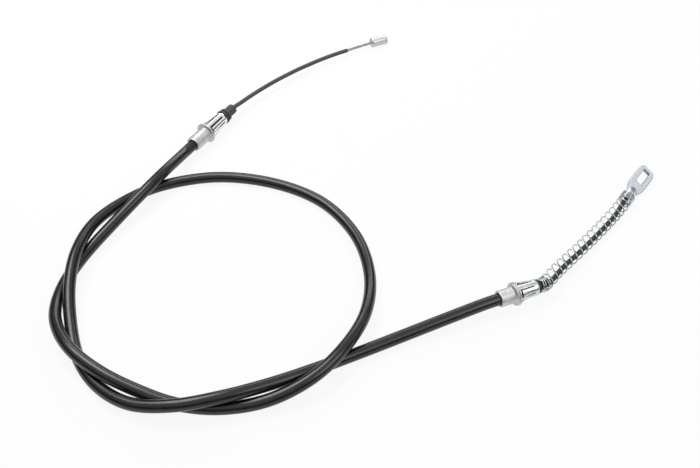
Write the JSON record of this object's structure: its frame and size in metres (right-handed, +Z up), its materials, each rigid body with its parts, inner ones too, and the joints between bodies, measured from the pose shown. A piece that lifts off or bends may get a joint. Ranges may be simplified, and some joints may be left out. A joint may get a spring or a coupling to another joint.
{
  "type": "parking brake cable",
  "caption": "Parking brake cable: black conduit laid in a loop, flanged ferrules with prong clips, barrel end on the front wire, return spring and slotted eye at the rear.",
  "frame": {"origin": "middle of the part's footprint, on the surface it lies on", "axes": "+Z up from that surface, +Y away from the rear ferrule towards the barrel end, +X to the eye end's side"},
  "size_m": [0.5199, 0.4964, 0.0209],
  "materials": {
    "conduit_plastic": "glossy near-black extruded plastic",
    "liner_plastic": "smooth natural plastic",
    "coat_plastic": "matt dark grey plastic coat",
    "strand_steel": "galvanised steel wire",
    "ferrule_zinc": "matt light grey casting",
    "clip_bright": "bright plated spring steel",
    "clip_steel": "satin plated spring steel",
    "spring_steel": "bright plated spring wire",
    "seal_rubber": "matt dark grey rubber",
    "end_zinc": "bright zinc plate"
  },
  "bodies": {
    "conduit": {"conduit_jacket": "conduit_plastic", "conduit_armour": "strand_steel", "conduit_liner": "liner_plastic", "inner_wire": "coat_plastic", "front_ferrule": "ferrule_zinc", "front_prong_clip": "clip_bright", "front_seal": "seal_rubber", "rear_ferrule": "ferrule_zinc", "rear_prong_clip": "clip_steel", "rear_seal": "seal_rubber", "rear_wire_coat": "coat_plastic", "rear_wire_strand": "strand_steel", "return_spring": "spring_steel"},
    "front_wire": {"front_wire_coat": "coat_plastic", "front_wire_strand": "strand_steel", "barrel_end": "end_zinc"},
    "rear_eye": {"eye_end": "end_zinc"}
  },
  "joints": [
    {"name": "front_pull", "type": "slide", "parent": "conduit", "child": "front_wire", "axis": [0.4924, 0.8704, 0], "range_m": [0, 0.025]},
    {"name": "rear_pull", "type": "slide", "parent": "conduit", "child": "rear_eye", "axis": [-0.6613, -0.7501, 0], "range_m": [0, 0.025], "stiffness_N_per_m": 800, "deforming": ["return_spring", "rear_wire_coat", "rear_wire_strand"]}
  ],
  "couplings": [
    {"joint": "rear_pull", "follows": "front_pull", "ratio": 1}
  ]
}
